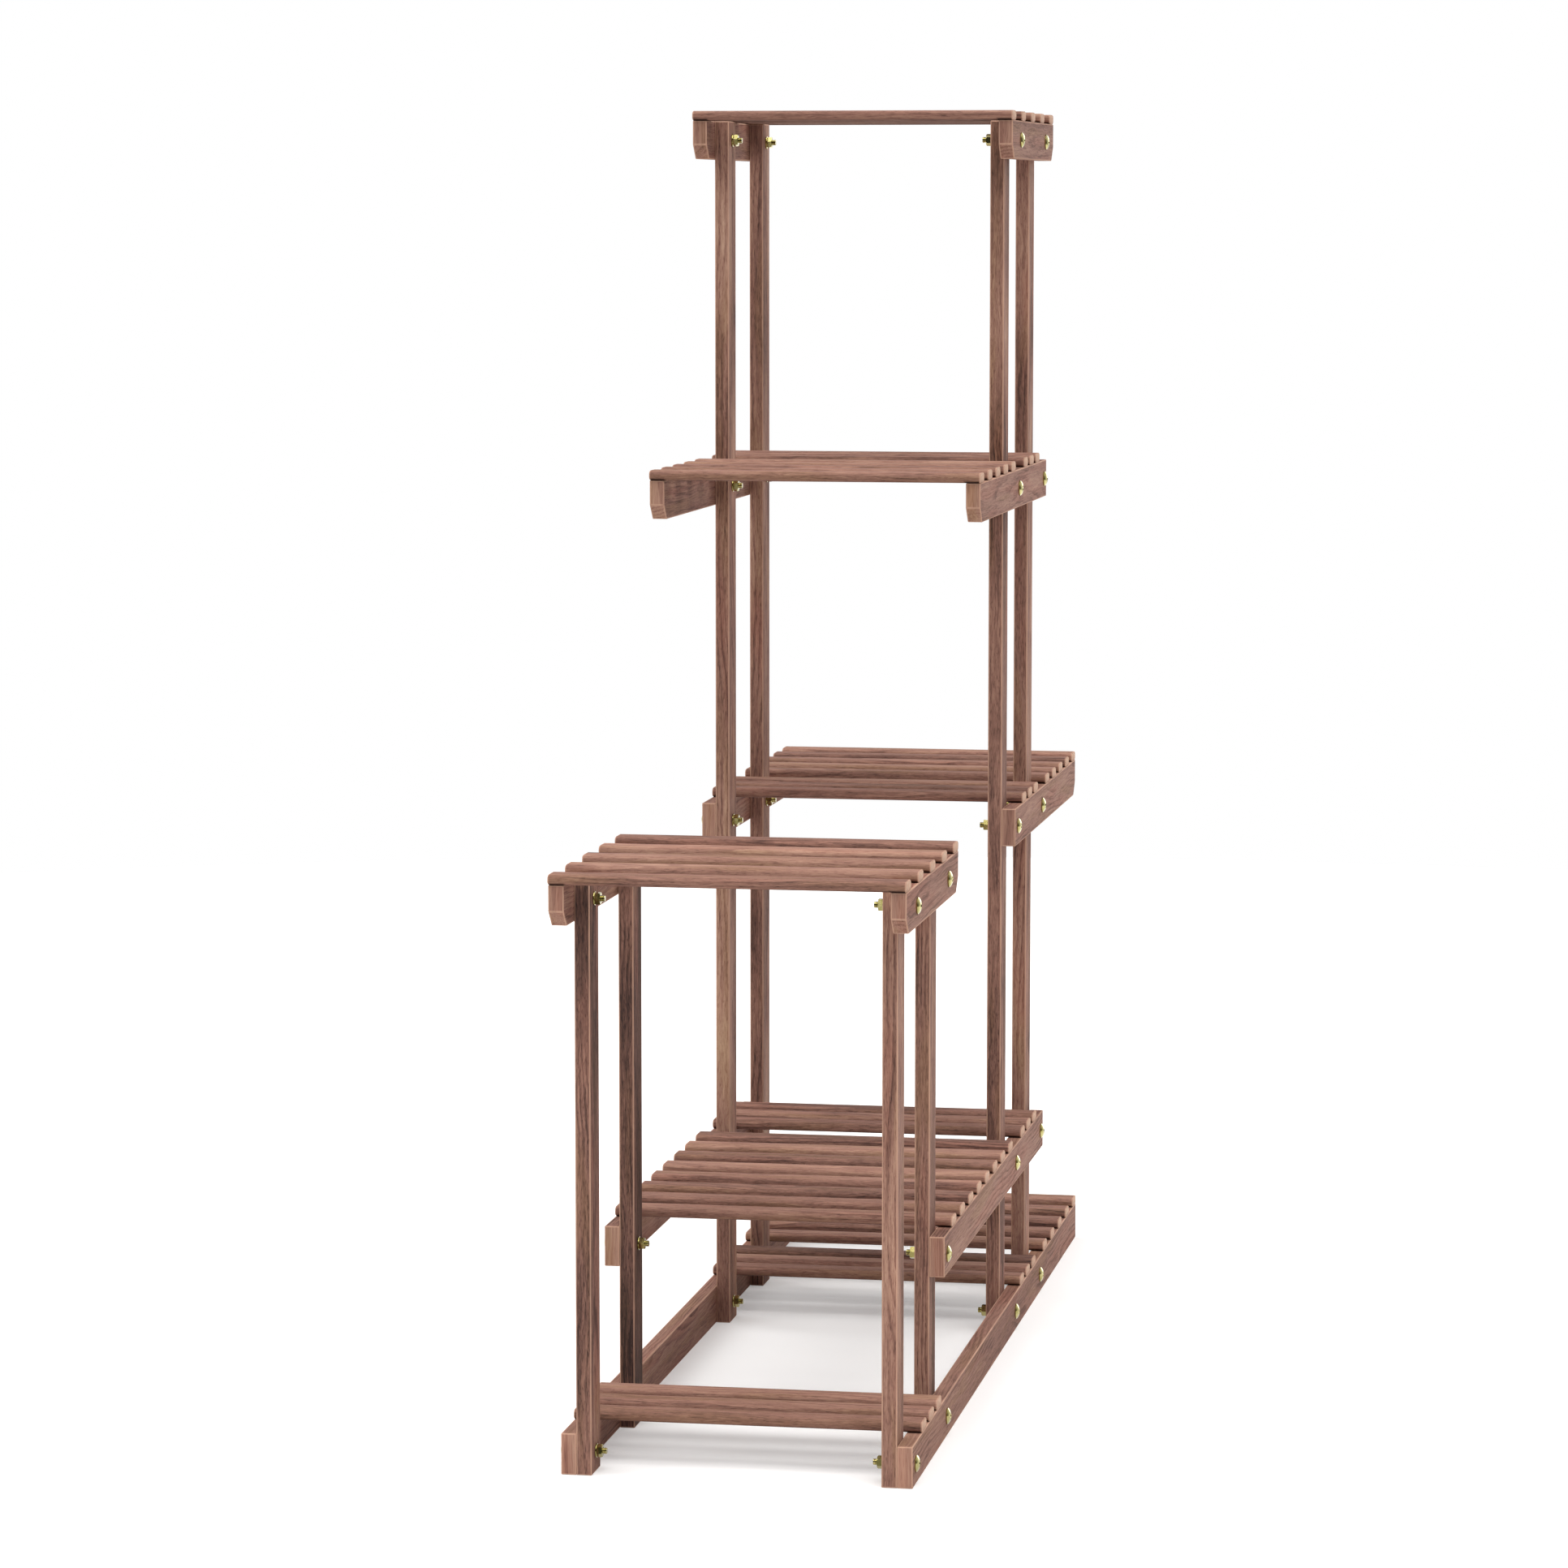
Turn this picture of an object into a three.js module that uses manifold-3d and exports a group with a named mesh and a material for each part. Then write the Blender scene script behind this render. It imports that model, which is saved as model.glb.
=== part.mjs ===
// Plant ladder stand: two post towers of different height that share slatted shelves.
// Millimetres, +Z up. +X runs along the rails from the low tower to the tall one,
// +Y is the left side as seen from the low end. The floor is z = 0.
import * as THREE from 'three';
import { mergeVertices } from 'three/addons/utils/BufferGeometryUtils.js';
import Module from 'manifold-3d';

const wasm = await Module();
wasm.setup();

// ---- driving dimensions ----------------------------------------------------

// Posts and rails are cut from one stock of planed board.
const BOARD_THICK = 11;
const BOARD_WIDE = 29.5;
const ARRIS = 0.8; // planed-off corner along every edge of posts and rails

// Slats lie across the rails and set the width of the stand.
const SLAT_LONG = 250;
const SLAT_WIDE = 23;
const SLAT_THICK = 7.5;
const SLAT_ROUND_WIDE = 4.4; // reach of the rounded long edge across the slat
const SLAT_ROUND_THICK = 2.9; // reach of the rounded long edge down the slat

// Post places along X, measured from near face to near face.
const POST_SPACING = 150.5; // the two posts of one side of a tower
const TOWER_SPACING = 529; // low tower to tall tower

// Height of each shelf's rails above the floor, at their top edge.
const MIDDLE_HIGH = 149;
const LOW_TOP_HIGH = 422;
const REAR_LEDGE_HIGH = 417.5;
const FRONT_LEDGE_HIGH = 683;
const TOP_HIGH = 953;

// How far rails run out past the post faces.
const CAP_OVERHANG = 34; // both ends of the short rails on top of each tower
const LEDGE_REACH = 206; // the free end of the two ledges on the tall tower
const BOTTOM_REACH = 228.5; // the bottom rails behind the tall tower
const CORNER_CUT = 11; // lower corner sawn off each free rail end

// Slat counts, and how the rows stand on the rails.
const BAY_SLATS = 3; // between the two posts of a tower
const SPAN_SLATS = 8; // between the towers
const END_SLATS = 5; // on a ledge, on the bottom's free end and on a tower cap
const POST_GAP = 7.5; // from a post face to the nearest slat of a long row
const SLAT_LEAD = 2.5; // the front slat stands this far out over the rail ends

// Bolt, washer and hexagon nut at every crossing of a post and a rail.
const BOLT_LONG = 30; // under the head
const SHANK_WIDE = 4.8;
const HOLE_WIDE = 5.6;
const HEAD_WIDE = 12;
const HEAD_HIGH = 3.2;
const HEAD_RIM = 0.9; // straight rim under the dome
const WASHER_WIDE = 10;
const WASHER_THICK = 1;
const NUT_FLATS = 8;
const NUT_HIGH = 4;

// Faces used round each form.
const ROUND_STEPS = 4; // per rounded slat edge
const HEAD_SIDES = 12;
const HEAD_STEPS = 2;
const SHANK_SIDES = 8;
const HOLE_SIDES = 6;
const NUT_SIDES = 6;

// ---- materials ---------------------------------------------------------------

const wood = (colour, roughness) =>
  new THREE.MeshStandardMaterial({ color: colour, roughness, metalness: 0 });

const postWood = wood(0x745148, 0.62);
const railWood = wood(0x86605a, 0.6);
const slatWood = wood(0xa27a66, 0.58);
const brass = new THREE.MeshStandardMaterial({
  color: 0xb8a04e,
  roughness: 0.28,
  metalness: 1,
});

// ---- places worked out from the driving dimensions -----------------------------

const SIDES = ['left', 'right'];
const HALF = SLAT_LONG / 2;

// Near face of each post along X.
const postX = {
  low_front: 0,
  low_rear: POST_SPACING,
  tall_front: TOWER_SPACING,
  tall_rear: TOWER_SPACING + POST_SPACING,
};
const farFace = (post) => postX[post] + BOARD_WIDE;
const boltX = (post) => postX[post] + BOARD_WIDE / 2;

// Outer edges of a row of slats that leaves equal gaps between two posts.
function bayRow(post, nextPost) {
  const bay = postX[nextPost] - farFace(post);
  const gap = (bay - BAY_SLATS * SLAT_WIDE) / (BAY_SLATS + 1);
  return { from: farFace(post) + gap, to: postX[nextPost] - gap, count: BAY_SLATS };
}

const lowBay = bayRow('low_front', 'low_rear');
const tallBay = bayRow('tall_front', 'tall_rear');
const span = {
  from: farFace('low_rear') + POST_GAP,
  to: postX.tall_front - POST_GAP,
  count: SPAN_SLATS,
};

// A row behind the tall tower, flush with the rail ends.
const rearRow = (reach) => ({
  from: farFace('tall_rear') + POST_GAP,
  to: farFace('tall_rear') + reach,
  count: END_SLATS,
});

const frontLedge = {
  from: postX.tall_front - LEDGE_REACH - SLAT_LEAD,
  to: postX.tall_front - POST_GAP,
  count: END_SLATS,
};

// The short rails and slats that close the top of a tower.
function towerCap(name, high, front, rear) {
  const from = postX[front] - CAP_OVERHANG;
  const to = farFace(rear) + CAP_OVERHANG;
  return {
    name,
    high,
    from,
    to,
    cutFront: true,
    cutRear: true,
    posts: [front, rear],
    rows: [{ from: from - SLAT_LEAD, to, count: END_SLATS }],
  };
}

// Every shelf: its rails from front to rear, the posts that carry it, its slats.
const shelves = [
  {
    name: 'bottom',
    high: BOARD_WIDE,
    from: postX.low_front,
    to: farFace('tall_rear') + BOTTOM_REACH,
    cutFront: false,
    cutRear: false,
    posts: ['low_front', 'low_rear', 'tall_front', 'tall_rear'],
    rows: [lowBay, tallBay, rearRow(BOTTOM_REACH)],
  },
  {
    name: 'middle',
    high: MIDDLE_HIGH,
    from: postX.low_rear,
    to: farFace('tall_rear'),
    cutFront: false,
    cutRear: false,
    posts: ['low_rear', 'tall_front', 'tall_rear'],
    rows: [span, tallBay],
    joined: SPAN_SLATS, // these slats are one piece with the left rail
  },
  towerCap('low_top', LOW_TOP_HIGH, 'low_front', 'low_rear'),
  {
    name: 'rear_ledge',
    high: REAR_LEDGE_HIGH,
    from: postX.tall_front,
    to: farFace('tall_rear') + LEDGE_REACH,
    cutFront: false,
    cutRear: true,
    posts: ['tall_front', 'tall_rear'],
    rows: [tallBay, rearRow(LEDGE_REACH)],
  },
  {
    name: 'front_ledge',
    high: FRONT_LEDGE_HIGH,
    from: postX.tall_front - LEDGE_REACH,
    to: farFace('tall_rear'),
    cutFront: true,
    cutRear: false,
    posts: ['tall_front', 'tall_rear'],
    rows: [frontLedge, tallBay],
  },
  towerCap('top', TOP_HIGH, 'tall_front', 'tall_rear'),
];

// A post stops under the slats of the highest shelf that it carries.
const postTop = (post) =>
  Math.max(...shelves.filter((s) => s.posts.includes(post)).map((s) => s.high));

const boltHeight = (shelf) => shelf.high - BOARD_WIDE / 2;

// ---- forms -------------------------------------------------------------------

// A board with planed arrises. The shape is its wide face, seen along +Y with
// x to the right and z up; the board runs from y = 0 to y = BOARD_THICK.
function board(outline) {
  const geometry = new THREE.ExtrudeGeometry(outline, {
    depth: BOARD_THICK - 2 * ARRIS,
    bevelEnabled: true,
    bevelThickness: ARRIS,
    bevelSize: ARRIS,
    bevelOffset: -ARRIS,
    bevelSegments: 1,
  });
  geometry.rotateX(Math.PI / 2);
  return geometry.translate(0, BOARD_THICK - ARRIS, 0);
}

// A bolt hole whose flats stand HOLE_WIDE apart.
function holePath(x, z) {
  const radius = HOLE_WIDE / 2 / Math.cos(Math.PI / HOLE_SIDES);
  const points = Array.from({ length: HOLE_SIDES }, (_, i) => {
    const turn = (2 * Math.PI * i) / HOLE_SIDES;
    return new THREE.Vector2(x + radius * Math.cos(turn), z + radius * Math.sin(turn));
  });
  return new THREE.Path(points);
}

function postGeometry(post) {
  const outline = new THREE.Shape();
  outline.moveTo(0, 0);
  outline.lineTo(BOARD_WIDE, 0);
  outline.lineTo(BOARD_WIDE, postTop(post));
  outline.lineTo(0, postTop(post));
  outline.closePath();
  for (const shelf of shelves.filter((s) => s.posts.includes(post))) {
    outline.holes.push(holePath(BOARD_WIDE / 2, boltHeight(shelf)));
  }
  return board(outline).translate(postX[post], 0, 0);
}

function railGeometry(shelf) {
  const low = shelf.high - BOARD_WIDE;
  const outline = new THREE.Shape();
  outline.moveTo(shelf.from, shelf.high);
  if (shelf.cutFront) {
    outline.lineTo(shelf.from, low + CORNER_CUT);
    outline.lineTo(shelf.from + CORNER_CUT, low);
  } else {
    outline.lineTo(shelf.from, low);
  }
  if (shelf.cutRear) {
    outline.lineTo(shelf.to - CORNER_CUT, low);
    outline.lineTo(shelf.to, low + CORNER_CUT);
  } else {
    outline.lineTo(shelf.to, low);
  }
  outline.lineTo(shelf.to, shelf.high);
  outline.closePath();
  return board(outline);
}

// A slat lies along Y from rail to rail, centred on y = 0, its underside at z = 0.
function slatGeometry() {
  const a = SLAT_ROUND_WIDE;
  const b = SLAT_ROUND_THICK;
  const x = SLAT_WIDE / 2 - a;
  const profile = new THREE.Shape();
  profile.absellipse(x, b, a, b, -Math.PI / 2, 0, false, 0);
  profile.absellipse(x, SLAT_THICK - b, a, b, 0, Math.PI / 2, false, 0);
  profile.absellipse(-x, SLAT_THICK - b, a, b, Math.PI / 2, Math.PI, false, 0);
  profile.absellipse(-x, b, a, b, Math.PI, 1.5 * Math.PI, false, 0);
  const geometry = new THREE.ExtrudeGeometry(profile, {
    depth: SLAT_LONG,
    bevelEnabled: false,
    curveSegments: ROUND_STEPS / 2, // an ellipse gets two steps per segment
  });
  geometry.rotateX(Math.PI / 2);
  return geometry.translate(0, HALF, 0);
}

// Bolt, washer and nut as one tightened set. The bolt's axis is +Y and the face
// that the head bears on is y = 0, so the head lies below y = 0.
function boltSet() {
  const head = [new THREE.Vector2(0, 1), new THREE.Vector2(HEAD_WIDE / 2, 1)];
  for (let i = 0; i <= HEAD_STEPS; i += 1) {
    const turn = (i / HEAD_STEPS) * (Math.PI / 2);
    const radius = i === HEAD_STEPS ? 0 : (HEAD_WIDE / 2) * Math.cos(turn);
    head.push(new THREE.Vector2(radius, -HEAD_RIM - (HEAD_HIGH - HEAD_RIM) * Math.sin(turn)));
  }
  const washerFace = 2 * BOARD_THICK;
  const cylinder = (wide, from, to, sides) =>
    new THREE.CylinderGeometry(wide / 2, wide / 2, to - from, sides).translate(0, (from + to) / 2, 0);
  const nutWide = NUT_FLATS / Math.cos(Math.PI / NUT_SIDES);
  const nutFace = washerFace + WASHER_THICK;
  return [
    new THREE.LatheGeometry(head.reverse(), HEAD_SIDES),
    cylinder(SHANK_WIDE, 0, BOLT_LONG, SHANK_SIDES),
    cylinder(WASHER_WIDE, washerFace, nutFace, HEAD_SIDES),
    cylinder(nutWide, nutFace - WASHER_THICK / 2, nutFace + NUT_HIGH, NUT_SIDES),
  ];
}

// ---- joining -----------------------------------------------------------------

function solid(geometry) {
  const bare = geometry.clone();
  bare.deleteAttribute('normal');
  bare.deleteAttribute('uv');
  const merged = mergeVertices(bare, 1e-4);
  return new wasm.Manifold(
    new wasm.Mesh({
      numProp: 3,
      vertProperties: new Float32Array(merged.attributes.position.array),
      triVerts: new Uint32Array(merged.index.array),
    }),
  );
}

// Joins wood and metal forms into one closed mesh that keeps both materials.
function fuse(woodForms, metalForms, woodMaterial) {
  const metalIds = new Set();
  let whole = null;
  for (const [forms, isMetal] of [[woodForms, false], [metalForms, true]]) {
    for (const form of forms) {
      const piece = solid(form).asOriginal();
      if (isMetal) metalIds.add(piece.originalID());
      whole = whole ? whole.add(piece) : piece;
    }
  }
  const mesh = whole.getMesh();
  const geometry = new THREE.BufferGeometry();
  geometry.setAttribute('position', new THREE.BufferAttribute(mesh.vertProperties, 3));
  geometry.setIndex(new THREE.BufferAttribute(mesh.triVerts, 1));
  for (let run = 0; run < mesh.runOriginalID.length; run += 1) {
    const start = mesh.runIndex[run];
    const isMetal = metalIds.has(mesh.runOriginalID[run]);
    geometry.addGroup(start, mesh.runIndex[run + 1] - start, isMetal ? 1 : 0);
  }
  geometry.computeVertexNormals();
  return new THREE.Mesh(geometry, [woodMaterial, brass]);
}

// ---- assembly ----------------------------------------------------------------

const stand = new THREE.Group();
const frontEnd = Math.min(...shelves.flatMap((s) => s.rows.map((r) => r.from)));
const rearEnd = Math.max(...shelves.map((s) => s.to));
stand.position.x = -(frontEnd + rearEnd) / 2;

// Turns a form built for the right-hand side, outer face at y = 0, to its side.
function toSide(geometry, side, inset) {
  const placed = geometry.clone().translate(0, inset - HALF, 0);
  if (side === 'right') return placed;
  placed.scale(1, -1, 1);
  const index = placed.index ? placed.index.array : [...Array(placed.attributes.position.count).keys()];
  const flipped = [];
  for (let i = 0; i < index.length; i += 3) flipped.push(index[i], index[i + 2], index[i + 1]);
  placed.setIndex(flipped);
  placed.computeVertexNormals();
  return placed;
}

// Middle of each slat along X, in one row after another.
function slatPlaces(shelf) {
  return shelf.rows.flatMap((row) => {
    const first = row.from + SLAT_WIDE / 2;
    const step = (row.to - row.from - SLAT_WIDE) / (row.count - 1);
    return Array.from({ length: row.count }, (_, i) => first + i * step);
  });
}

const slat = slatGeometry();

for (const side of SIDES) {
  for (const post of Object.keys(postX)) {
    const mesh = new THREE.Mesh(toSide(postGeometry(post), side, BOARD_THICK), postWood);
    mesh.name = `${post}_post_${side}`;
    stand.add(mesh);
  }
  for (const shelf of shelves) {
    const bolts = shelf.posts.flatMap((post) =>
      boltSet().map((form) => toSide(form.translate(boltX(post), 0, boltHeight(shelf)), side, 0)),
    );
    const boards = [toSide(railGeometry(shelf), side, 0)];
    const holdsSlats = side === 'left' && shelf.joined;
    if (holdsSlats) {
      for (const x of slatPlaces(shelf).slice(0, shelf.joined)) {
        boards.push(slat.clone().translate(x, 0, shelf.high));
      }
    }
    const mesh = fuse(boards, bolts, railWood);
    mesh.name = `${shelf.name}_rail_${side}${holdsSlats ? '_with_slats' : ''}`;
    stand.add(mesh);
  }
}

for (const shelf of shelves) {
  slatPlaces(shelf).forEach((x, i) => {
    if (shelf.joined && i < shelf.joined) return;
    const mesh = new THREE.Mesh(slat, slatWood);
    mesh.name = `${shelf.name}_slat_${String(i + 1).padStart(2, '0')}`;
    mesh.position.set(x, 0, shelf.high);
    stand.add(mesh);
  });
}

export default stand;
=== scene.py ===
# %% [markdown]
# # Dressing a plant ladder stand
# The stand is a rigid rack of planed, brown-stained softwood: eight posts, twelve
# rails and forty-eight rounded slats, held by thirty bolts. Its shape is already
# fixed as a solid model. Here each board and each fastener gets the detail and the
# finish of the real one, around that fixed model, without changing its size.

# %% Load the fixed model
import math
import random

import bmesh
import bpy
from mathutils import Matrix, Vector


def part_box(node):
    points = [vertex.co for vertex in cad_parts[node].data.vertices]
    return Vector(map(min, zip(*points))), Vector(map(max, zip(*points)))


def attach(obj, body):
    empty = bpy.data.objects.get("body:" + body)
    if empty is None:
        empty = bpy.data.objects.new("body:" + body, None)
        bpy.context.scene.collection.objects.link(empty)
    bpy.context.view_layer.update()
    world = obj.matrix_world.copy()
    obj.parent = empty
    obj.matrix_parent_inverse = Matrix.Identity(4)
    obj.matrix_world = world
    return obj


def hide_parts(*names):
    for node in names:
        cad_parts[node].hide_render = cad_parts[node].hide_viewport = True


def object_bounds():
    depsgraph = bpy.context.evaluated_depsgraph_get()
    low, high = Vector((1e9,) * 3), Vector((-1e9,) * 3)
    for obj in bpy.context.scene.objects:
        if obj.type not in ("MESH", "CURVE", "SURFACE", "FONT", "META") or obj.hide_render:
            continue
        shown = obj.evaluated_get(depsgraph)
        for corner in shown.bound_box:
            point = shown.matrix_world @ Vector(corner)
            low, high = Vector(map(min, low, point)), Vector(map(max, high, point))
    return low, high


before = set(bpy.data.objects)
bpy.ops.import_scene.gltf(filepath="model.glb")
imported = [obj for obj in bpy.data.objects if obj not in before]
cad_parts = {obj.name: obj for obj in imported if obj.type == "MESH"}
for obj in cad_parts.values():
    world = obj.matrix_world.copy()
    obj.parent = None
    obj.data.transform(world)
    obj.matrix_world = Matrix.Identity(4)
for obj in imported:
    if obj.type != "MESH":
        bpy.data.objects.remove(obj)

solid_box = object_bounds()
solid_size = solid_box[1] - solid_box[0]
print("solids:", len(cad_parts))
print("size in mm:", [round(side * 1000, 1) for side in solid_size])

# %% [markdown]
# ## The camera comes first
# The picture looks along the rails from the low end, a little from the right and
# from above, through a long lens. The place and the aim below were worked out from
# 148 corners, edges and screw heads whose places on the stand are known. A long lens
# far away keeps upright posts almost parallel, as they are in the picture.

# %% Camera
CAMERA_AT = Vector((-4.08376, -0.67565, 0.88746))
CAMERA_YAW = 0.174745  # radians, to the left of the rails
CAMERA_PITCH = 0.106912  # radians, downwards
PICTURE_SIDE = 1932  # pixels, the picture is square
FOCAL_PIXELS = 6638.7
SENSOR = 36.0  # millimetres

aim = Vector((
    math.cos(CAMERA_YAW) * math.cos(CAMERA_PITCH),
    math.sin(CAMERA_YAW) * math.cos(CAMERA_PITCH),
    -math.sin(CAMERA_PITCH),
))
camera_data = bpy.data.cameras.new("picture_camera")
camera_data.sensor_width = SENSOR
camera_data.lens = FOCAL_PIXELS * SENSOR / PICTURE_SIDE
camera_data.clip_end = 100.0
camera = bpy.data.objects.new("picture_camera", camera_data)
camera.location = CAMERA_AT
camera.rotation_mode = "QUATERNION"
camera.rotation_quaternion = aim.to_track_quat("-Z", "Y")
bpy.context.scene.collection.objects.link(camera)
bpy.context.scene.camera = camera
print("lens:", round(camera_data.lens, 1), "mm")

# %% [markdown]
# ## Small helpers for node trees
# Both the finishes and the repeated parts are node trees. Wiring them by hand in
# the editor is fine for one tree, but code that adds a node, sets its values and
# links its inputs in one line is easier to read and to change.

# %% Node helpers
def add(tree, kind, inputs=None, **settings):
    """Adds a node. An input that is given a socket is linked, any other is set."""
    node = tree.nodes.new(kind)
    for name, value in settings.items():
        setattr(node, name, value)
    for key, value in (inputs or {}).items():
        if isinstance(value, bpy.types.NodeSocket):
            tree.links.new(value, node.inputs[key])
        else:
            node.inputs[key].default_value = value
    return node


def calc(tree, operation, *values):
    """One math node; returns its result."""
    return add(tree, "ShaderNodeMath", dict(enumerate(values)), operation=operation).outputs[0]


def vector_calc(tree, operation, inputs):
    """One vector math node; returns its vector, or its number for a length."""
    node = add(tree, "ShaderNodeVectorMath", inputs, operation=operation)
    return node.outputs["Value" if operation == "LENGTH" else "Vector"]


def colour(red, green, blue):
    """A colour written as it looks on screen, 0 to 255, as the numbers a shader needs."""
    def linear(part):
        part /= 255
        return part / 12.92 if part <= 0.04045 else ((part + 0.055) / 1.055) ** 2.4
    return (linear(red), linear(green), linear(blue), 1.0)


# %% [markdown]
# ## Brown-stained wood
# The boards are softwood, stained a reddish walnut brown and then rubbed back, so
# the stain is dark in the soft grain, warm where the wood is dense, and almost gone
# along every planed edge. A picture of wood could be wrapped round each board, but
# it would repeat and stretch. Here the finish is worked out in the space of each
# board: every point of a board knows where it is along, across and through it
# (the attribute board_at, in metres), and a number of its own for each board
# (board_seed) moves the pattern, so that no two boards are alike.
#
# - Growth rings are circles round a centre somewhere outside the board. They are
#   bent slowly along the board, which draws the long arches of a flat-sawn face.
# - Streaks and fibres are noise, stretched along the board by its coordinates.
# - The attribute worn is 1 on a planed edge and fades to 0 just inside each face.
# - The attribute end_grain is 1 on the sawn ends of slats, which took little stain,
#   and less on those of posts. Rail ends are only lighter, by the attribute
#   board_shade, which also makes whole boards lighter or darker.
# - One more attribute, on slats only, holds painted shade. It is 1 in the crevice where a
#   slat sits on a rail, and less along the rest of the underside, darkening both.
#
# Posts, rails and slats share one recipe. Posts came from more mottled boards, and
# rails have longer and calmer streaks, so those are inputs of the function.

# %% Pattern helpers
def noise(tree, vector, detail, roughness=0.5, scale=1.0, output="Fac"):
    return add(tree, "ShaderNodeTexNoise", {
        "Vector": vector, "Scale": scale, "Detail": detail, "Roughness": roughness,
    }).outputs[output]


def fade(tree, value, low, high, to_low=0.0, to_high=1.0):
    """Carries a value from one range to another, smoothly, and holds it there."""
    return add(tree, "ShaderNodeMapRange", {
        "Value": value, "From Min": low, "From Max": high,
        "To Min": to_low, "To Max": to_high,
    }, interpolation_type="SMOOTHSTEP").outputs["Result"]


def blend_colour(tree, share, first, second, kind="MIX"):
    """Goes from the first colour to the second as the share goes from 0 to 1."""
    node = add(tree, "ShaderNodeMix", {"Factor": share}, data_type="RGBA", blend_type=kind)
    for key, value in ((6, first), (7, second)):
        if isinstance(value, bpy.types.NodeSocket):
            tree.links.new(value, node.inputs[key])
        else:
            node.inputs[key].default_value = value
    return node.outputs[2]


# %% Wood finish
STAIN = (  # from the darkest stain to the palest, and where each is on the ramp
    (0.02, colour(62, 49, 46)), (0.27, colour(100, 74, 66)), (0.52, colour(141, 104, 91)),
    (0.76, colour(168, 130, 112)), (0.98, colour(190, 155, 134)))
RED_TINT = colour(252, 216, 208)
OLIVE_TINT = colour(242, 245, 225)
PAINTED_UNDER_SHADE_COLOUR = colour(42, 26, 22)  # painted shade, nearly black, for the crevice over a rail and the slat's underside
RUBBED_EDGE = colour(196, 156, 134)
SAWN_EARLY = colour(236, 214, 186)
SAWN_LATE = colour(214, 184, 156)
SAWN_STREAK = colour(184, 148, 124)

CELLS = {  # noise cells in a metre, along the board and across it
    "sway": (16.0, 60.0), "bend": (3.2, 14.0), "cloud": (6.0, 38.0), "band": (11.0, 190.0),
    "fibre": (70.0, 900.0), "pore": (190.0, 1700.0), "figured": (9.0, 55.0),
    "red": (7.0, 75.0), "olive": (9.0, 90.0),
}
SEED_STEP = (37.0, 71.0, 53.0)  # how far a board's number moves its noise
SEED_TURN = 97.0  # how far it turns the centre of its rings
RING_GAP = 0.0031  # metres between growth rings
RING_BEND = 0.034  # how far a ring wanders along a board
RING_CENTRE_ASIDE = 0.022  # how far to a side the centre of the rings can be
RING_CENTRE_UNDER = 0.03  # how far under the board it is
RING_CENTRE_VARIES = 0.012  # by how much that differs from board to board
SWAY = 0.005  # the whole range of the sideways noise, most of which stays within 2 mm


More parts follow.
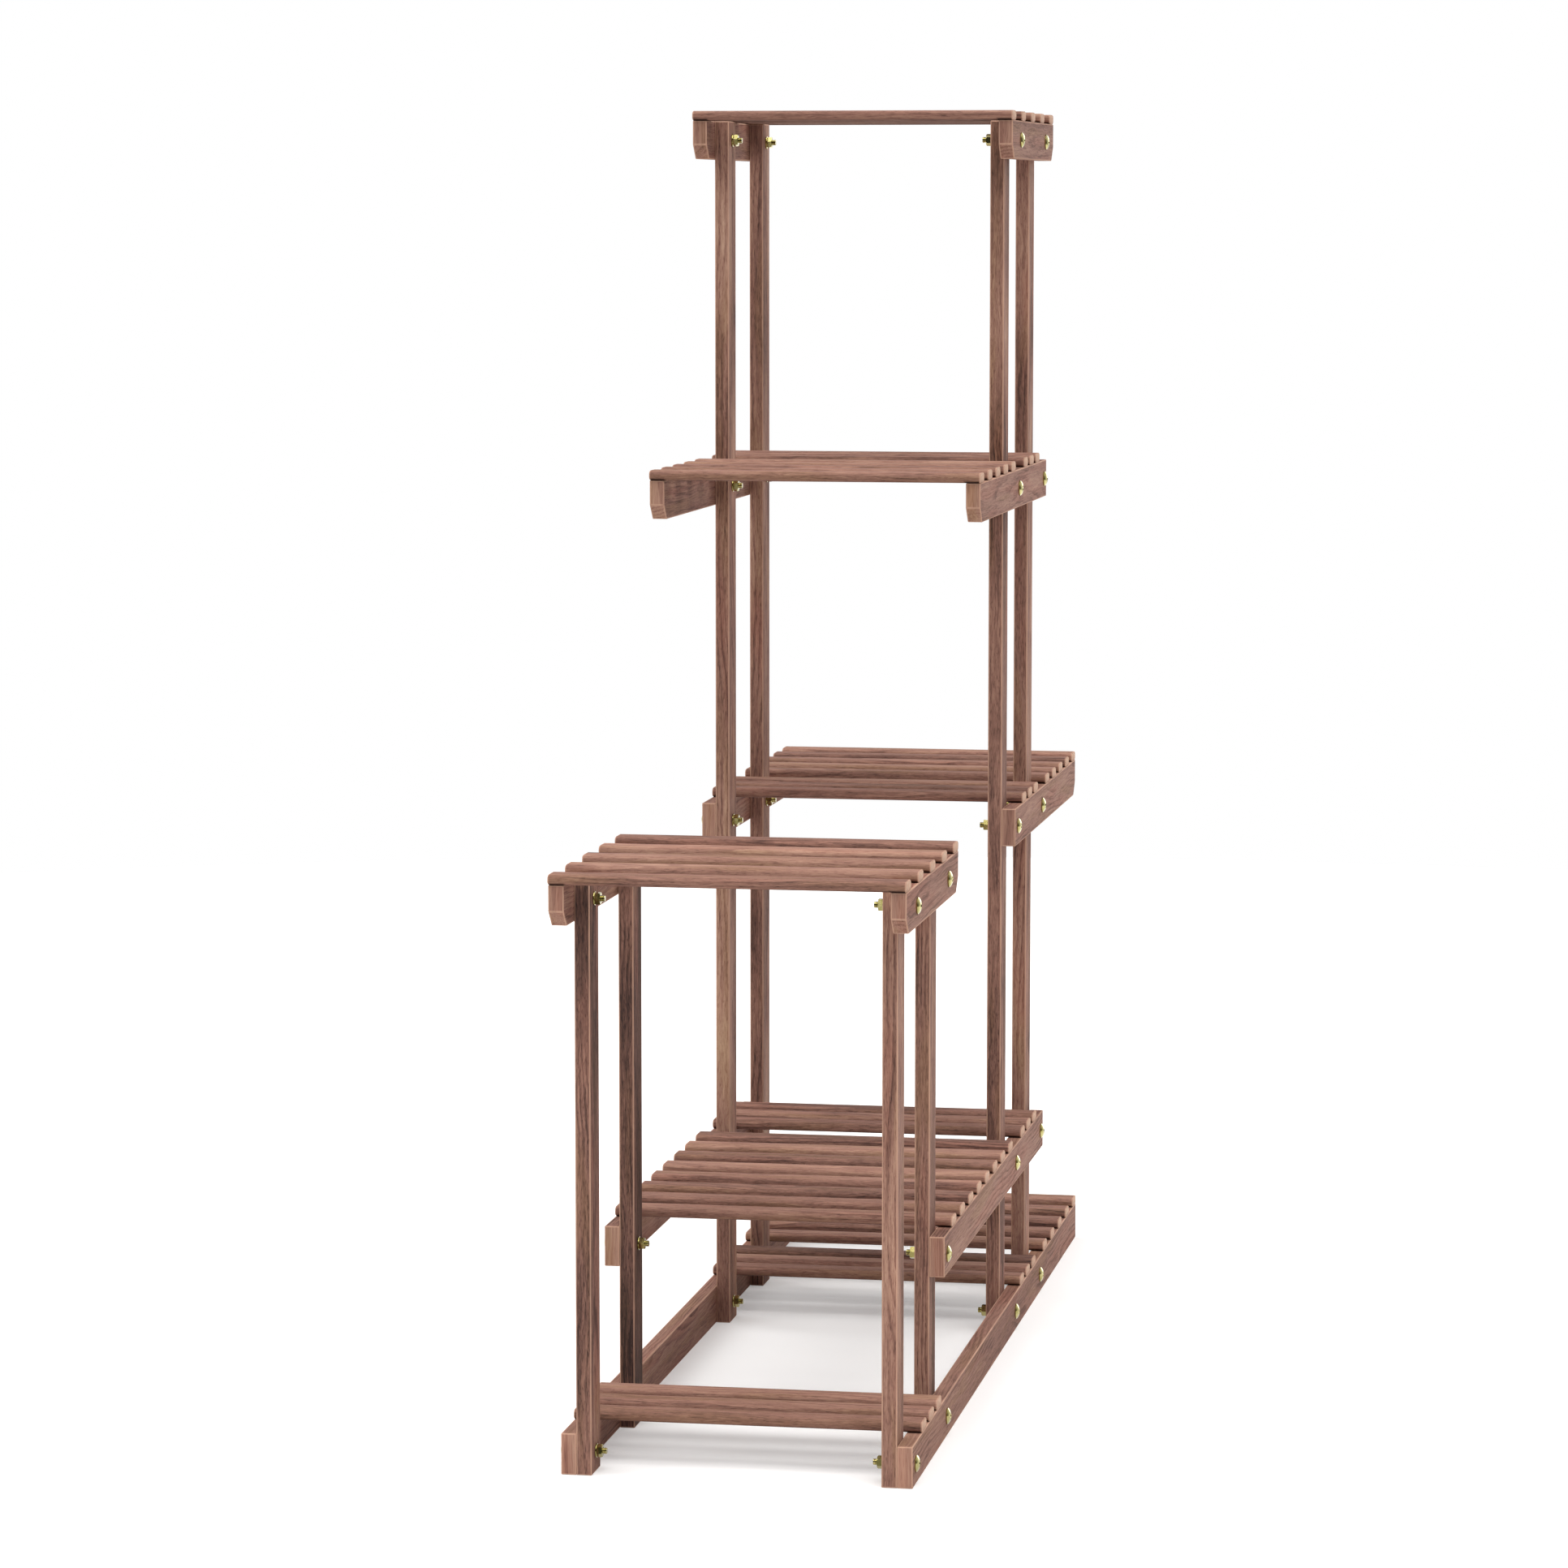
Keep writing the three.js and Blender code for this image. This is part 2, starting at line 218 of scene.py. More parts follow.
def stained_wood(name, mottle, red=0.35, figure=1.0, run=1.0):
    """The finish. Mottle, red and figure are how strong the wide stains, the red
    patches and the grain are, and run is how long the streaks are."""
    material = bpy.data.materials.new(name)
    material.use_nodes = True
    tree = material.node_tree
    tree.nodes.clear()

    def own(label, output="Fac"):
        return add(tree, "ShaderNodeAttribute", attribute_name=label).outputs[output]

    straight, seed = own("board_at", "Vector"), own("board_seed")
    shift = vector_calc(tree, "SCALE", {0: SEED_STEP, "Scale": seed})

    def cells(label, at, longer=1.0):
        """Coordinates for the noise of this name, moved by the board's own number."""
        along, across = CELLS[label]
        scaled = vector_calc(tree, "MULTIPLY", {0: at, 1: (along / longer, across, across)})
        return vector_calc(tree, "ADD", {0: scaled, 1: shift})

    def weigh(value, weight, total, middle=0.5):
        """Adds a pattern to the total by how far it is from its own middle."""
        off = calc(tree, "SUBTRACT", value, middle)
        return calc(tree, "MULTIPLY_ADD", off, weight * figure, total)

    def tinted(under, tint, share):
        stronger = blend_colour(tree, 1.0, under, tint, "MULTIPLY")
        return blend_colour(tree, share, under, stronger)

    # waves: the grain wanders sideways by a millimetre or two
    sway = noise(tree, cells("sway", straight), 2.0, output="Color")
    sway = vector_calc(tree, "SUBTRACT", {0: sway, 1: (0.5, 0.5, 0.5)})
    sway = vector_calc(tree, "MULTIPLY", {0: sway, 1: (0.0, SWAY, SWAY)})
    at = vector_calc(tree, "ADD", {0: straight, 1: sway})

    # growth rings
    bend = noise(tree, cells("bend", straight), 1.0)
    bend = calc(tree, "MULTIPLY", calc(tree, "SUBTRACT", bend, 0.5), RING_BEND)
    parts = add(tree, "ShaderNodeSeparateXYZ", {0: at}).outputs
    turn = calc(tree, "MULTIPLY", seed, SEED_TURN)
    centre_across = calc(tree, "MULTIPLY", calc(tree, "SINE", turn), RING_CENTRE_ASIDE)
    centre_through = calc(
        tree, "MULTIPLY_ADD", calc(tree, "COSINE", turn), RING_CENTRE_VARIES, RING_CENTRE_UNDER)
    radius = vector_calc(tree, "LENGTH", {0: add(tree, "ShaderNodeCombineXYZ", {
        1: calc(tree, "ADD", parts[1], centre_across),
        2: calc(tree, "ADD", parts[2], centre_through)}).outputs[0]})
    rings = calc(tree, "DIVIDE", calc(tree, "ADD", radius, bend), RING_GAP)
    ring = calc(tree, "FRACT", rings)
    late_wood = calc(tree, "MULTIPLY", fade(tree, ring, 0.3, 0.88), fade(
        tree, ring, 0.9, 1.0, 1.0, 0.0))

    # bands, fibres and pores, from wide to fine
    cloud = noise(tree, cells("cloud", at, run), 1.0)
    band = noise(tree, cells("band", at, run), 3.0, 0.75)
    fibre = noise(tree, cells("fibre", at, run), 3.0, 0.7)
    pore = noise(tree, cells("pore", at, run), 1.0)
    figured = fade(tree, noise(tree, cells("figured", at), 1.0), 0.42, 0.62)

    tone = calc(tree, "ADD", own("board_shade"), 0.5)
    tone = weigh(cloud, mottle, tone)
    tone = weigh(band, 0.46, tone)
    tone = weigh(fibre, 0.85, tone)
    tone = weigh(calc(tree, "MULTIPLY", late_wood, figured), -0.24, tone, 0.15)
    tone = weigh(fade(tree, pore, 0.56, 0.66), -0.17, tone, 0.2)

    ramp = add(tree, "ShaderNodeValToRGB", {"Fac": tone})
    stops = ramp.color_ramp.elements
    stops[0].position, stops[0].color = STAIN[0]
    stops[1].position, stops[1].color = STAIN[-1]
    for place_on_ramp, shade in STAIN[1:-1]:
        stops.new(place_on_ramp).color = shade
    face = ramp.outputs["Color"]
    patch = fade(tree, noise(tree, cells("red", at), 1.0), 0.5, 0.7, 0.0, red)
    face = tinted(face, RED_TINT, patch)
    patch = fade(tree, noise(tree, cells("olive", at), 1.0), 0.5, 0.3, 0.0, 0.6)
    face = tinted(face, OLIVE_TINT, patch)

    # sawn ends and planed edges
    sawn = blend_colour(tree, late_wood, SAWN_EARLY, SAWN_LATE)
    sawn = blend_colour(tree, fade(tree, fibre, 0.42, 0.68, 0.0, 0.35), sawn, SAWN_STREAK)
    face = blend_colour(tree, own("end_grain"), face, sawn)
    # painted shade: the crevice over a rail and the underside of each slat go dark brown
    face = blend_colour(tree, own("painted_under_shade"), face, PAINTED_UNDER_SHADE_COLOUR)
    rub = calc(tree, "MULTIPLY", own("worn"), fade(tree, band, 0.3, 0.65, 0.5, 0.95))
    face = blend_colour(tree, rub, face, RUBBED_EDGE)

    relief = add(tree, "ShaderNodeBump", {
        "Strength": 0.3, "Distance": 0.0002, "Height": weigh(fibre, 1.0, tone)})
    shader = add(tree, "ShaderNodeBsdfPrincipled", {
        "Base Color": face,
        "Roughness": fade(tree, tone, 0.1, 0.9, 0.74, 0.6),
        "Specular IOR Level": 0.05,
        "Normal": relief.outputs["Normal"],
    })
    add(tree, "ShaderNodeOutputMaterial", {"Surface": shader.outputs[0]})
    print("finish:", name, "with", len(tree.nodes), "nodes")
    return material


post_wood = stained_wood("stained_post_wood", 0.95)
rail_wood = stained_wood("stained_rail_wood", 0.6, figure=0.75, run=2.5)
slat_wood = stained_wood("stained_slat_wood", 0.5, red=0.2, figure=0.85)

# %% [markdown]
# ## Planed boards: the posts and rails
# Posts and rails come from one stock, 29.5 x 11 mm. After planing, every edge is
# broken with a small arris, which loses its stain first and shows as a pale line.
# A cube with a Bevel modifier would do for plain boards, but rails also have sawn
# lower corners, and the pale line needs a soft inner border. So each board is made
# with bmesh: the outline of its wide face is pushed through its thickness, all
# edges are bevelled, and each face gets a thin border by an inset. Points inside
# the border have worn = 0, all others 1, and the shader sees a smooth fade.

# %% Board maker
MM = 0.001
ARRIS = 0.6 * MM
RUBBED = 0.7 * MM  # how far the rubbed stain reaches in from an arris
BROAD = 4 * MM  # a face with all sides over this belongs to the board, not to an arris
CORNER_CUT = 11 * MM
POST_END = 0.3  # how pale a post's ends are, next to the ends of a slat
seeds = random.Random(11)


def store(mesh, name, kind, domain, values):
    """Writes one attribute. Vectors come as flat lists of numbers."""
    layer = mesh.attributes.new(name, kind, domain)
    layer.data.foreach_set("vector" if kind == "FLOAT_VECTOR" else "value", values)


def is_broad(face):
    if len(face.verts) == 4:
        return min(edge.calc_length() for edge in face.edges) > BROAD
    return len(face.verts) > 4


def planed_board(name, outline, faces_y, upright, shade, end_shade=0.0):
    """A board whose wide face has this outline of (x, z) and lies between two y."""
    mesh = bpy.data.meshes.new(name)
    work = bmesh.new()
    near = [work.verts.new((x, faces_y[0], z)) for x, z in outline]
    far = [work.verts.new((x, faces_y[1], z)) for x, z in outline]
    work.faces.new(near)
    work.faces.new(far[::-1])
    for i in range(len(near)):
        j = (i + 1) % len(near)
        work.faces.new((near[j], near[i], far[i], far[j]))
    bmesh.ops.recalc_face_normals(work, faces=work.faces)
    bmesh.ops.bevel(
        work, geom=work.edges[:], offset=ARRIS, segments=2, profile=0.5, affect="EDGES")
    broad = [face for face in work.faces if is_broad(face)]
    inner = bmesh.ops.inset_individual(work, faces=broad, thickness=RUBBED, depth=0.0)
    clean = {corner for face in broad for corner in face.verts}
    for face in work.faces:
        face.smooth = not (face in broad or face in inner["faces"])
    work.verts.index_update()
    worn = [0.0 if corner in clean else 1.0 for corner in work.verts]
    work.to_mesh(mesh)
    work.free()

    xs = [x for x, z in outline]
    zs = [z for x, z in outline]
    centre = Vector((
        (min(xs) + max(xs)) / 2, sum(faces_y) / 2, (min(zs) + max(zs)) / 2))
    board_at = []
    end_grain = []
    shades = []
    for face in mesh.polygons:
        is_end = abs(face.normal.z) > 0.9 if upright else abs(face.normal.x) > 0.6
        end_grain.append(POST_END if is_end and upright else 0.0)
        shades.append(shade + end_shade * is_end)
        for loop in face.loop_indices:
            x, y, z = mesh.vertices[mesh.loops[loop].vertex_index].co - centre
            # on a rail's end the figure runs up and down
            board_at += (z, x, y) if upright or is_end else (x, z, y)
    store(mesh, "worn", "FLOAT", "POINT", worn)
    store(mesh, "end_grain", "FLOAT", "FACE", end_grain)
    store(mesh, "board_at", "FLOAT_VECTOR", "CORNER", board_at)
    store(mesh, "board_seed", "FLOAT", "POINT", [seeds.random()] * len(mesh.vertices))
    store(mesh, "board_shade", "FLOAT", "FACE", shades)
    return mesh


def place(name, mesh, material, nodes):
    """Makes a finished piece of the stand, which stands for these solids."""
    mesh.materials.clear()
    mesh.materials.append(material)
    piece = bpy.data.objects.new(name, mesh)
    bpy.context.scene.collection.objects.link(piece)
    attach(piece, "root")
    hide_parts(*nodes)


# %% Posts
TOWERS = ("low_front", "low_rear", "tall_front", "tall_rear")
SIDES = ("left", "right")

POST_SHADE = {  # how much darker or lighter than the stock each post was stained
    "left": dict(zip(TOWERS, (-0.15, -0.26, 0.06, 0.02))),
    "right": dict(zip(TOWERS, (0.06, 0.0, -0.06, 0.06))),
}

for tower in TOWERS:
    for side in SIDES:
        node = f"{tower}_post_{side}"
        low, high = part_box(node)
        outline = [(low.x, low.z), (high.x, low.z), (high.x, high.z), (low.x, high.z)]
        mesh = planed_board(
            f"{node}_board", outline, (low.y, high.y), True, POST_SHADE[side][tower])
        place(f"{node}_board", mesh, post_wood, [node])
print("posts:", len(TOWERS) * len(SIDES), "each with", len(mesh.polygons), "faces")

# %% [markdown]
# ## Rails
# A rail lies against the outer faces of its posts. Its solid also holds its bolts,
# and one of the two middle rails holds slats as well, so the length and the height
# come from the rail of the right side, which has no slats, and the two outer faces
# from the posts. Free rail ends have their lower corner sawn off; ends that stop
# at a post, or stand on the floor, are square.

# %% Rail places
CUT_ENDS = {  # which rails have a sawn corner at the low end and at the tall end
    "bottom": (False, False), "middle": (False, False), "low_top": (True, True),
    "rear_ledge": (False, True), "front_ledge": (True, False), "top": (True, True),
}
JOINED = {("middle", "left"): "middle_rail_left_with_slats"}
post_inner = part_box("low_front_post_left")[0].y
post_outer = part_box("low_front_post_left")[1].y
thick = post_outer - post_inner


def rail_node(shelf, side):
    return JOINED.get((shelf, side), f"{shelf}_rail_{side}")


def rail_outline(shelf):
    low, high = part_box(f"{shelf}_rail_right")
    cut_near, cut_far = CUT_ENDS[shelf]
    near_corner, far_corner = [(low.x, low.z)], [(high.x, low.z)]
    if cut_near:
        near_corner = [(low.x, low.z + CORNER_CUT), (low.x + CORNER_CUT, low.z)]
    if cut_far:
        far_corner = [(high.x - CORNER_CUT, low.z), (high.x, low.z + CORNER_CUT)]
    return [(low.x, high.z), *near_corner, *far_corner, (high.x, high.z)]


RAIL_SHADE = 0.02
END_SHADE = {  # how much lighter the two ends of a rail are than its faces
    "bottom": 0.24, "middle": 0.2, "low_top": 0.1, "rear_ledge": 0.1,
    "front_ledge": 0.15, "top": 0.06,
}

for shelf in CUT_ENDS:
    for side, sign in zip(SIDES, (1, -1)):
        faces_y = sorted((sign * post_outer, sign * (post_outer + thick)))
        name = f"{shelf}_rail_{side}_board"
        mesh = planed_board(
            name, rail_outline(shelf), faces_y, False, RAIL_SHADE, END_SHADE[shelf])
        place(name, mesh, rail_wood, [rail_node(shelf, side)])
print("rails:", len(CUT_ENDS) * len(SIDES), "reaching y =", round(post_outer + thick, 4))

# %% [markdown]
# ## Slats, by Geometry Nodes
# Forty-eight slats of one size lie across the rails. One tree makes the slat and
# repeats it: a rectangle with rounded corners is swept along the slat, its ends
# are drawn in a little for the broken edge, and the result is placed on points,
# one for each slat. An Array modifier would need equal steps, but the rows have
# gaps of several widths. Each instance gets its own number from Random Value with
# a fixed seed. Realize Instances then turns them into real mesh. The crevice where a
# slat sits on its rails gets painted shade, so the sweep has a ring of points there.

# %% Geometry Nodes helpers
SOCKETS = {
    float: "NodeSocketFloat", int: "NodeSocketInt", bpy.types.Material: "NodeSocketMaterial",
}


def new_tree(name, inputs):
    """A Geometry Nodes tree with named inputs. Returns it, its inputs and its output node."""
    tree = bpy.data.node_groups.new(name, "GeometryNodeTree")
    tree.interface.new_socket("Geometry", in_out="INPUT", socket_type="NodeSocketGeometry")
    for label, value in inputs.items():
        kind = next(socket for base, socket in SOCKETS.items() if isinstance(value, base))
        tree.interface.new_socket(label, in_out="INPUT", socket_type=kind)
    tree.interface.new_socket("Geometry", in_out="OUTPUT", socket_type="NodeSocketGeometry")
    return tree, tree.nodes.new("NodeGroupInput").outputs, tree.nodes.new("NodeGroupOutput")


def grow(tree, inputs, places, attributes=None):
    """Runs a tree on a mesh of loose points and returns plain mesh."""
    points = bpy.data.meshes.new("places")
    points.from_pydata(places, [], [])
    for label, values in (attributes or {}).items():
        store(points, label, "FLOAT_VECTOR", "POINT", values)
    holder = bpy.data.objects.new("places", points)
    bpy.context.scene.collection.objects.link(holder)
    modifier = holder.modifiers.new("grow", "NODES")
    modifier.node_group = tree
    for item in tree.interface.items_tree:
        if item.in_out == "INPUT" and item.name in inputs:
            modifier[item.identifier] = inputs[item.name]
    graph = bpy.context.evaluated_depsgraph_get()
    mesh = bpy.data.meshes.new_from_object(
        holder.evaluated_get(graph), preserve_all_data_layers=True, depsgraph=graph)
    holder.modifiers.remove(modifier)
    bpy.data.objects.remove(holder)
    work = bmesh.new()
    work.from_mesh(mesh)
    bmesh.ops.recalc_face_normals(work, faces=work.faces)
    work.to_mesh(mesh)
    work.free()
    return mesh


def xyz(tree, parts):
    """A vector from some of its three parts, which are numbered from 0."""
    return add(tree, "ShaderNodeCombineXYZ", parts).outputs[0]


def lifted(tree, geometry, height):
    return add(tree, "GeometryNodeTransform", {
        "Geometry": geometry, "Translation": xyz(tree, {2: height})}).outputs[0]


def named(tree, geometry, label, value, domain="POINT", kind="FLOAT"):
    """Stores a value on the mesh, under a name that a material can read."""
    return add(tree, "GeometryNodeStoreNamedAttribute", {
        "Geometry": geometry, "Name": label, "Value": value,
    }, data_type=kind, domain=domain).outputs[0]


# %% Slat: outline and length
SLAT = {
    "Length": 0.25, "Width": 0.023, "Thickness": 0.0075,
    "Round across": 0.0044, "Round through": 0.0029,
    "End arris": 0.0004, "Rubbed": 0.0008,
    # the next two set painted shade: how high the line in the crevice over a rail reaches, and
    # how dark the underside is
    "Seat": post_outer, "Crevice shade": 0.0022, "Underside shade": 0.45,
    "Shade": 0.0, "Shade range": 0.12, "Seed": 5, "Wood": slat_wood,
}
RINGS = 10  # outlines along the slat, five from each end
HAIR = 0.0001  # metres, to tell one ring of points from the next
CREVICE_SHADE_FULL_TO = 0.0006  # how high the painted shade line stays full, above the slat's underside
UNDERSIDE_SHADE_TO = 0.0014  # how high up the side the painted shade of the underside fades out
FADE_IN = 0.002  # how far before the rail the painted shade line begins
SHADE_SEED = 100.0  # so that shade and figure of a slat don't go together

tree, given, result = new_tree("slat_rows", SLAT)
squash = calc(tree, "DIVIDE", given["Round through"], given["Round across"])
section = add(tree, "GeometryNodeCurvePrimitiveQuadrilateral", {
    "Width": given["Width"], "Height": calc(tree, "DIVIDE", given["Thickness"], squash),
}).outputs[0]
section = add(tree, "GeometryNodeFilletCurve", {
    "Curve": section, "Count": 5, "Radius": given["Round across"], "Limit Radius": True,
}, mode="POLY").outputs[0]
section = add(tree, "GeometryNodeTransform", {
    "Geometry": section, "Scale": xyz(tree, {0: 1.0, 1: squash, 2: 1.0})}).outputs[0]

half = calc(tree, "MULTIPLY", given["Length"], 0.5)
full = calc(tree, "SUBTRACT", half, given["End arris"])
plain = calc(tree, "SUBTRACT", full, given["Rubbed"])
open_from = calc(tree, "SUBTRACT", given["Seat"], FADE_IN)
path = add(tree, "GeometryNodeCurvePrimitiveLine", {"Start": (0, -0.1, 0), "End": (0, 0.1, 0)})
path = add(tree, "GeometryNodeResampleCurve", {"Curve": path.outputs[0], "Count": RINGS})
ring_at = add(tree, "GeometryNodeIndexSwitch", data_type="FLOAT")
while len(ring_at.index_switch_items) < RINGS:
    ring_at.index_switch_items.new()
tree.links.new(add(tree, "GeometryNodeInputIndex").outputs[0], ring_at.inputs["Index"])
for i, from_middle in enumerate((half, full, plain, given["Seat"], open_from)):
    tree.links.new(calc(tree, "MULTIPLY", from_middle, -1.0), ring_at.inputs[1 + i])
    tree.links.new(from_middle, ring_at.inputs[RINGS - i])
path = add(tree, "GeometryNodeSetPosition", {
    "Geometry": path.outputs[0], "Position": xyz(tree, {1: ring_at.outputs[0]})}).outputs[0]
slat = add(tree, "GeometryNodeCurveToMesh", {
    "Curve": path, "Profile Curve": section, "Fill Caps": True}).outputs[0]
print("slat outline and length:", len(tree.nodes), "nodes")

# %% Slat: ends and attributes
position = add(tree, "GeometryNodeInputPosition").outputs[0]
x, y, z = add(tree, "ShaderNodeSeparateXYZ", {0: position}).outputs
reach = calc(tree, "ABSOLUTE", y)
at_end = calc(tree, "GREATER_THAN", reach, calc(tree, "SUBTRACT", half, HAIR))


def drawn_in(side):
    """How much of a side is left at the slat's end, where the arris starts."""
    return calc(tree, "SUBTRACT", 1.0, calc(
        tree, "DIVIDE", calc(tree, "MULTIPLY", given["End arris"], 2.0), given[side]))


slat = add(tree, "GeometryNodeSetPosition", {
    "Geometry": slat, "Selection": at_end,
    "Position": xyz(tree, {
        0: calc(tree, "MULTIPLY", x, drawn_in("Width")), 1: y,
        2: calc(tree, "MULTIPLY", z, drawn_in("Thickness"))}),
}).outputs[0]
slat = named(tree, slat, "board_at", xyz(tree, {0: y, 1: x, 2: z}), kind="FLOAT_VECTOR")
slat = named(tree, slat, "worn", calc(
    tree, "GREATER_THAN", reach, calc(tree, "ADD", plain, HAIR)))
# painted shade: a dark line where the slat sits on a rail, fading up its side, and a weaker
# darkening along its whole underside
under = calc(tree, "MULTIPLY", given["Thickness"], -0.5)
crevice_shade = fade(tree, z, calc(tree, "ADD", under, CREVICE_SHADE_FULL_TO), calc(
    tree, "ADD", under, given["Crevice shade"]), 1.0, 0.0)
on_rail = calc(tree, "GREATER_THAN", reach, calc(tree, "SUBTRACT", given["Seat"], HAIR))
underside_shade = fade(tree, z, under, calc(tree, "ADD", under, UNDERSIDE_SHADE_TO), given["Underside shade"], 0.0)
slat = named(tree, slat, "painted_under_shade", calc(
    tree, "MAXIMUM", calc(tree, "MULTIPLY", crevice_shade, on_rail), underside_shade))
normal = add(tree, "ShaderNodeSeparateXYZ", {
    0: add(tree, "GeometryNodeInputNormal").outputs[0]}).outputs
slat = named(tree, slat, "end_grain", calc(
    tree, "GREATER_THAN", calc(tree, "ABSOLUTE", normal[1]), 0.95), domain="FACE")
slat = lifted(tree, slat, calc(tree, "MULTIPLY", given["Thickness"], 0.5))
print("with its ends and attributes:", len(tree.nodes), "nodes")

# %% Slat: one on each point
row = add(tree, "GeometryNodeInstanceOnPoints", {
    "Points": given["Geometry"], "Instance": slat}).outputs[0]
own_number = add(tree, "FunctionNodeRandomValue", {
    "Seed": given["Seed"]}, data_type="FLOAT").outputs[1]
row = named(tree, row, "board_seed", own_number, domain="INSTANCE")
own_shade = add(tree, "FunctionNodeRandomValue", {
    2: calc(tree, "SUBTRACT", given["Shade"], given["Shade range"]),
    3: calc(tree, "ADD", given["Shade"], given["Shade range"]),
    "Seed": calc(tree, "ADD", given["Seed"], SHADE_SEED)}, data_type="FLOAT").outputs[1]
row = named(tree, row, "board_shade", own_shade, domain="INSTANCE")
row = add(tree, "GeometryNodeRealizeInstances", {"Geometry": row}).outputs[0]
row = add(tree, "GeometryNodeSetMaterial", {
    "Geometry": row, "Material": given["Wood"]}).outputs[0]
tree.links.new(row, result.inputs[0])
print("slat tree:", len(tree.nodes), "nodes")

# %% Slat rows
POST_GAP = 0.0075  # from a post to the nearest slat of the row between the towers
SPAN_SLATS = 8  # these have no solids of their own
SLAT_CREASE = 28  # degrees, sharper corners than this aren't smoothed


def slat_places(shelf, top):
    """Middle of each slat's underside, and the solids that the slats stand for."""
    nodes = sorted(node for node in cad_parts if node.startswith(f"{shelf}_slat_"))
    xs = [(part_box(node)[0].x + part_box(node)[1].x) / 2 for node in nodes]
    if shelf == "middle":
        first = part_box("low_rear_post_left")[1].x + POST_GAP + SLAT["Width"] / 2
        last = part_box("tall_front_post_left")[0].x - POST_GAP - SLAT["Width"] / 2
        step = (last - first) / (SPAN_SLATS - 1)
        xs = [first + i * step for i in range(SPAN_SLATS)] + xs
        nodes = nodes + [rail_node("middle", "left")]
    return [(x, 0.0, top) for x in xs], nodes


SHELF_SHADE = {
    "bottom": -0.03, "middle": -0.02, "low_top": 0.02, "rear_ledge": -0.02,
    "front_ledge": -0.01, "top": 0.06,
}

for number, shelf in enumerate(CUT_ENDS):
    places, nodes = slat_places(shelf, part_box(f"{shelf}_rail_right")[1].z)
    mesh = grow(tree, {
        **SLAT, "Seed": SLAT["Seed"] + number, "Shade": SHELF_SHADE[shelf]}, places)
    mesh.shade_smooth()
    mesh.set_sharp_from_angle(angle=math.radians(SLAT_CREASE))
    place(f"{shelf}_slats", mesh, slat_wood, nodes)
    print(shelf, "slats:", len(places), "with", len(mesh.polygons), "faces")

# %% [markdown]
# ## Screws, washers and nuts
# Each crossing of a post and a rail is held by one M5 screw: a low domed head with
# a cross recess outside, a plain washer and a hexagon nut inside, and a few turns
# of thread past the nut. They could be modelled once and copied by hand to thirty
# places. Three small trees build them from primitives instead, with their sizes as
# inputs, and place them on the same thirty points. Each point carries the way out
# of the stand, so one tree serves both sides, and Random Value turns each piece
# about its own axis, because nobody lines up screws.

# %% Crossings
CARRIED = {  # the posts that each pair of rails is bolted to
    "bottom": TOWERS, "middle": TOWERS[1:], "low_top": TOWERS[:2],
    "rear_ledge": TOWERS[2:], "front_ledge": TOWERS[2:], "top": TOWERS[2:],
}
crossings, outward = [], []
for shelf, posts in CARRIED.items():
    rail_low, rail_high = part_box(f"{shelf}_rail_right")
    for post in posts:
        post_low, post_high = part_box(f"{post}_post_right")
        for sign in (1, -1):
            crossings.append((
                (post_low.x + post_high.x) / 2, sign * (post_outer + thick),
                (rail_low.z + rail_high.z) / 2))
            outward += (0.0, sign, 0.0)
rail_nodes = [rail_node(shelf, side) for shelf in CUT_ENDS for side in SIDES]
print("crossings:", len(crossings))

# %% [markdown]
# ## Yellow zinc
# The fasteners are steel, plated with zinc and passivated yellow: a thin bright
# metal film that drifts between straw and green, under a clear sealing film. It is
# all metal, so its colour is the colour of its reflections, and the shader's coat is
# the sealing film, which adds a second and sharper one.

# %% Metal finish
STRAW = colour(196, 186, 124)
GREENISH = colour(170, 160, 94)
DULLED = colour(138, 120, 62)


def yellow_zinc():
    material = bpy.data.materials.new("yellow_passivated_zinc")
    material.use_nodes = True
    tree = material.node_tree
    tree.nodes.clear()
    at = add(tree, "ShaderNodeTexCoord").outputs["Object"]
    drift = noise(tree, at, 2.0, scale=160.0)
    grit = noise(tree, at, 2.0, scale=2400.0)
    film = blend_colour(tree, fade(tree, drift, 0.38, 0.62), STRAW, GREENISH)
    film = blend_colour(tree, fade(tree, grit, 0.5, 0.75, 0.0, 0.35), film, DULLED)
    shader = add(tree, "ShaderNodeBsdfPrincipled", {
        "Base Color": film, "Metallic": 1.0,
        "Roughness": fade(tree, grit, 0.3, 0.7, 0.14, 0.24),
        "Coat Weight": 0.5, "Coat Roughness": 0.08,
        "Normal": add(tree, "ShaderNodeBump", {
            "Strength": 0.15, "Distance": 0.00005, "Height": grit}).outputs["Normal"],
    })
    add(tree, "ShaderNodeOutputMaterial", {"Surface": shader.outputs[0]})
    return material


zinc = yellow_zinc()

# %% Shared steps of the three trees
def cylinder(tree, radius, depth, base, sides, side_steps=1, fill_steps=1):
    """A cylinder that stands on z = base."""
    made = add(tree, "GeometryNodeMeshCylinder", {
        "Vertices": sides, "Side Segments": side_steps, "Fill Segments": fill_steps,
        "Radius": radius, "Depth": depth}).outputs["Mesh"]
    return lifted(tree, made, calc(tree, "MULTIPLY_ADD", depth, 0.5, base))


def move_points(tree, geometry, make_position):
    """Moves every point to the place that make_position works out from x, y, z."""
    at = add(tree, "GeometryNodeInputPosition").outputs[0]
    x, y, z = add(tree, "ShaderNodeSeparateXYZ", {0: at}).outputs
    return add(tree, "GeometryNodeSetPosition", {
        "Geometry": geometry,
        "Position": xyz(tree, dict(enumerate(make_position(x, y, z))))}).outputs[0]


